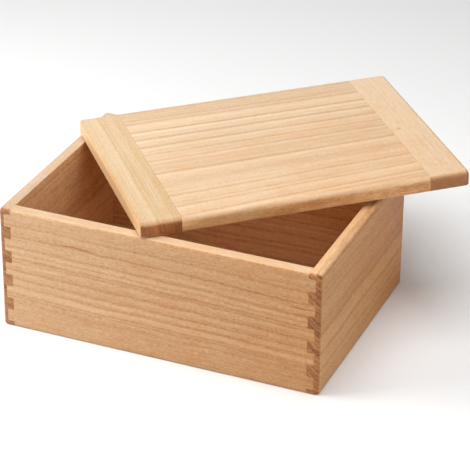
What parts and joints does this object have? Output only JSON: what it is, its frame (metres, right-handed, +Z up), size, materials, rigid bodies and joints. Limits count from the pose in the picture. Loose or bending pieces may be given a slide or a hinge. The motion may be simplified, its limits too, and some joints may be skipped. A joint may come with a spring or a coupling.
{
  "type": "wooden storage box with loose lid",
  "caption": "Rectangular finger-jointed wooden box for prints and papers, with a loose clamped-end lid lying askew on its rim.",
  "frame": {"origin": "centre of the box's flat underside, on the bottom panel", "axes": "+Z up, out of the open top; +X along the front, to the right; +Y from the front to the back"},
  "size_m": [0.3752, 0.3648, 0.142],
  "materials": {
    "long_board_wood": "bare sanded wood, straight warm grain, matt",
    "side_board_wood": "bare sanded wood, straight warm grain, matt",
    "bottom_wood": "bare sanded wood, straight warm grain, matt",
    "lid_panel_wood": "bare sanded wood, straight warm grain, matt",
    "lid_cleat_wood": "bare sanded wood, straight warm grain, matt",
    "lid_batten_wood": "bare sanded wood, straight warm grain, matt"
  },
  "bodies": {
    "box": {"front_board": "long_board_wood", "back_board": "long_board_wood", "left_side_board": "side_board_wood", "right_side_board": "side_board_wood", "bottom_panel": "bottom_wood"},
    "lid": {"lid_panel": "lid_panel_wood", "lid_end_cleat_left": "lid_cleat_wood", "lid_end_cleat_right": "lid_cleat_wood", "lid_batten_left": "lid_batten_wood", "lid_batten_right": "lid_batten_wood"}
  },
  "joints": [
    {"name": "lid_lift", "type": "slide", "parent": "box", "child": "lid", "axis": [0, 0, 1], "range_m": [0, 0.12]}
  ]
}
